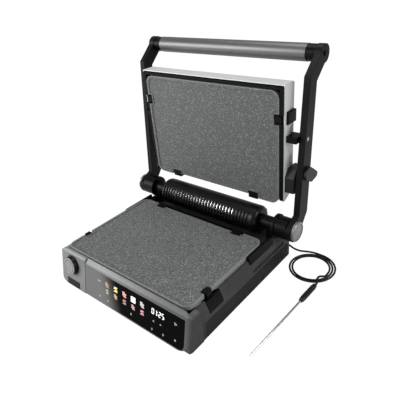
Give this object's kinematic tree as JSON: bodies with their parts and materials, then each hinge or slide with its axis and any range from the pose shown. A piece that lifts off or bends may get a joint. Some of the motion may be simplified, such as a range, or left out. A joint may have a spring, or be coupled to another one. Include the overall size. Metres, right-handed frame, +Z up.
{
  "type": "electric indoor grill with lid",
  "caption": "Countertop contact grill with a hinged floating lid on two arms, two removable grill plates, a slotted smoke hood, a front display with a knob, and a corded food probe.",
  "frame": {"origin": "centre of the appliance's own box, the probe and its cord left out, on the table under the feet", "axes": "+X to the right seen from the front, +Y to the back, +Z up"},
  "size_m": [0.4869, 0.3992, 0.414],
  "materials": {
    "housing_grey": "satin gunmetal",
    "dark_plastic": "fine grain, satin",
    "black_plastic": "satin black",
    "display_black": "gloss black",
    "knob_silver": "satin silver",
    "plate_granite": "grey non-stick with granite speckle",
    "cover_silver": "fine satin silver",
    "handle_silver": "satin",
    "cap_grey": "satin grey",
    "sheet_steel": "bright sheet",
    "heater_steel": "dull, heat tinted",
    "pin_steel": "bright",
    "rubber_black": "matt",
    "board_green": "solder mask",
    "rotor_grey": "satin",
    "tray_grey": "satin",
    "probe_black": "satin",
    "probe_steel": "polished"
  },
  "bodies": {
    "base": {"base_tray": "dark_plastic", "bottom_feet": "rubber_black", "bottom_screws": "pin_steel", "upper_housing": "housing_grey", "display_glass": "display_black", "control_board": "board_green", "knob_encoder": "rotor_grey", "socket_cover": "black_plastic", "power_board": "board_green", "lower_heater": "heater_steel", "lower_reflector": "sheet_steel", "lower_sensor": "pin_steel", "lower_hooks": "black_plastic", "mains_inlet": "black_plastic", "smoke_hood": "black_plastic", "grease_filter": "sheet_steel", "fan_motor": "rotor_grey", "hinge_barrels": "black_plastic", "rear_side_covers": "black_plastic", "lower_latch_pins": "pin_steel", "probe_jack": "black_plastic", "probe_plug": "probe_black", "probe_lead": "probe_black", "probe_coil": "probe_black", "probe_tail": "probe_black", "probe_grip": "probe_black", "probe_rod": "probe_steel"},
    "knob": {"control_knob": "knob_silver", "knob_shaft": "pin_steel"},
    "grease_tray": {"drip_tray": "tray_grey"},
    "fan": {"fan_rotor": "rotor_grey"},
    "cooking_plate_low": {"lower_plate": "plate_granite"},
    "latch_low_right": {"lower_latch_right": "black_plastic"},
    "latch_low_left": {"lower_latch_left": "black_plastic"},
    "arms": {"arm_right": "dark_plastic", "arm_left": "dark_plastic", "arm_cap_right": "cap_grey", "arm_cap_left": "cap_grey", "hinge_pins": "pin_steel", "handle_tube": "handle_silver", "handle_collars": "black_plastic", "handle_screws": "pin_steel"},
    "lever": {"lock_lever": "dark_plastic"},
    "lid": {"lid_cover": "cover_silver", "lid_frame": "black_plastic", "upper_heater": "heater_steel", "upper_reflector": "sheet_steel", "upper_sensor": "pin_steel", "upper_hooks": "black_plastic", "lid_pivot_blocks": "black_plastic", "lid_pivot_pins": "pin_steel", "lock_bracket": "dark_plastic", "upper_latch_pins": "pin_steel"},
    "cooking_plate_up": {"upper_plate": "plate_granite"},
    "latch_up_right": {"upper_latch_right": "black_plastic"},
    "latch_up_left": {"upper_latch_left": "black_plastic"}
  },
  "joints": [
    {"name": "arm_hinge", "type": "hinge", "parent": "base", "child": "arms", "pos_m": [0, 0.09562, 0.0884], "axis": [-1, 0, 0], "range_deg": [-95.7, 85]},
    {"name": "lid_tilt", "type": "hinge", "parent": "arms", "child": "lid", "pos_m": [0, 0.13362, 0.262], "axis": [-1, 0, 0], "range_deg": [-5.2, 5.8]},
    {"name": "upper_plate_tilt", "type": "hinge", "parent": "lid", "child": "cooking_plate_up", "pos_m": [0, 0.11362, 0.13], "axis": [1, 0, 0], "range_deg": [0, 15]},
    {"name": "lower_plate_tilt", "type": "hinge", "parent": "base", "child": "cooking_plate_low", "pos_m": [0, 0.04842, 0.07], "axis": [-1, 0, 0], "range_deg": [0, 15]},
    {"name": "lower_latch_right_press", "type": "hinge", "parent": "base", "child": "latch_low_right", "pos_m": [0.166, -0.12058, 0.061], "axis": [0, 1, 0], "range_deg": [0, 8], "stiffness_Nm_per_rad": 0.15},
    {"name": "lower_latch_left_press", "type": "hinge", "parent": "base", "child": "latch_low_left", "pos_m": [-0.166, -0.12058, 0.061], "axis": [0, -1, 0], "range_deg": [0, 8], "stiffness_Nm_per_rad": 0.15},
    {"name": "upper_latch_right_press", "type": "hinge", "parent": "lid", "child": "latch_up_right", "pos_m": [0.163, 0.12202, 0.299], "axis": [0, 0, 1], "range_deg": [0, 8], "stiffness_Nm_per_rad": 0.15},
    {"name": "upper_latch_left_press", "type": "hinge", "parent": "lid", "child": "latch_up_left", "pos_m": [-0.163, 0.12202, 0.299], "axis": [0, 0, -1], "range_deg": [0, 8], "stiffness_Nm_per_rad": 0.15},
    {"name": "drip_tray_slide", "type": "slide", "parent": "base", "child": "grease_tray", "axis": [0, 1, 0], "range_m": [0, 0.1]},
    {"name": "knob_turn", "type": "hinge", "parent": "base", "child": "knob", "pos_m": [-0.1315, -0.18614, 0.0505], "axis": [0, 0.9744, -0.225], "continuous": true},
    {"name": "fan_spin", "type": "hinge", "parent": "base", "child": "fan", "pos_m": [0, 0.09562, 0.0884], "axis": [1, 0, 0], "continuous": true},
    {"name": "lock_lever_turn", "type": "hinge", "parent": "arms", "child": "lever", "pos_m": [0.206, 0.13162, 0.196], "axis": [1, 0, 0], "range_deg": [0, 60]}
  ],
  "couplings": [
    {"joint": "lid_tilt", "follows": "arm_hinge", "ratio": -0.0596}
  ]
}
